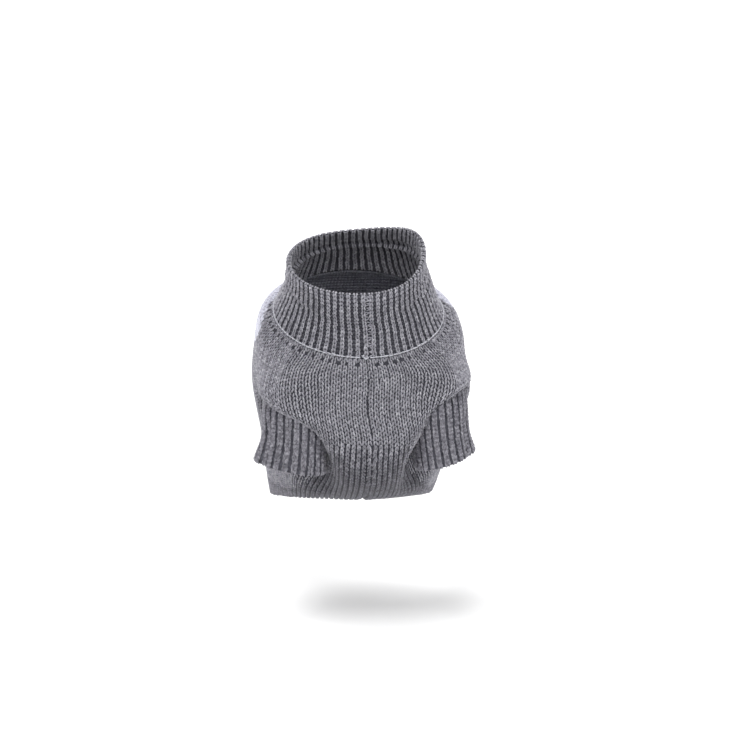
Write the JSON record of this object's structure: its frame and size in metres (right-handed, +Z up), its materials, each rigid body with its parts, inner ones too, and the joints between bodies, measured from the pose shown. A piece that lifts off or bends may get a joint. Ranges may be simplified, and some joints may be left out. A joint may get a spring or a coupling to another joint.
{
  "type": "dog sweater",
  "caption": "Knitted grey dog sweater with a ribbed funnel neck, short ribbed leg cuffs, a ribbed belly and hem, and a paler knitted area over the back.",
  "frame": {"origin": "middle of the neck seam, where the collar is sewn to the body and the sweater hangs on the neck", "axes": "+Z up, -Y out of the chest, +Y towards the back and hem, +X to the viewer's right from the front"},
  "size_m": [0.1434, 0.1938, 0.1999],
  "materials": {
    "body_knit": "heather stockinette wool knit, paler over the back",
    "collar_knit": "ribbed wool knit",
    "cuff_knit": "coarse ribbed wool knit",
    "hem_knit": "fine ribbed wool knit"
  },
  "bodies": {
    "root": {"body_panel": "body_knit", "collar": "collar_knit", "cuff_left": "cuff_knit", "cuff_right": "cuff_knit", "hem_rib": "hem_knit"}
  },
  "joints": []
}
